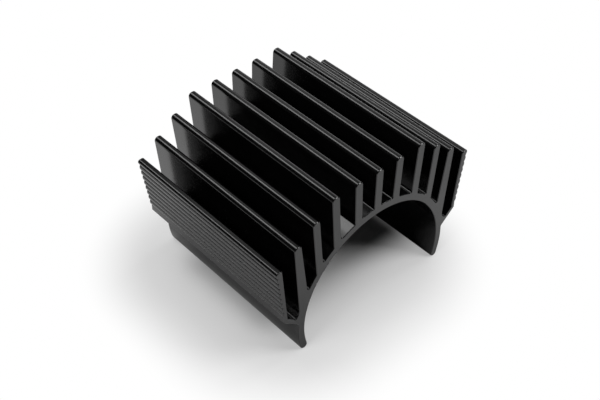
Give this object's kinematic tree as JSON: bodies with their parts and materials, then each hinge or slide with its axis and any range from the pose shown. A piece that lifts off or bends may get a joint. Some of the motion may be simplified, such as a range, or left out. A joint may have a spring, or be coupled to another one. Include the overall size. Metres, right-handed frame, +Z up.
{
  "type": "motor heat sink",
  "caption": "Clip-on finned heat sink: an extruded black arch that springs over a small can motor and carries a fan of cooling fins along it.",
  "frame": {"origin": "on the motor's axis, at the middle of the heat sink's length", "axes": "+X across the fins, +Y along the motor's axis, +Z up through the fins"},
  "size_m": [0.049, 0.04, 0.0341],
  "materials": {
    "black_anodised": "black anodised, satin along the extrusion and matte on the cut ends"
  },
  "bodies": {
    "root": {"heat_sink": "black_anodised"}
  },
  "joints": []
}
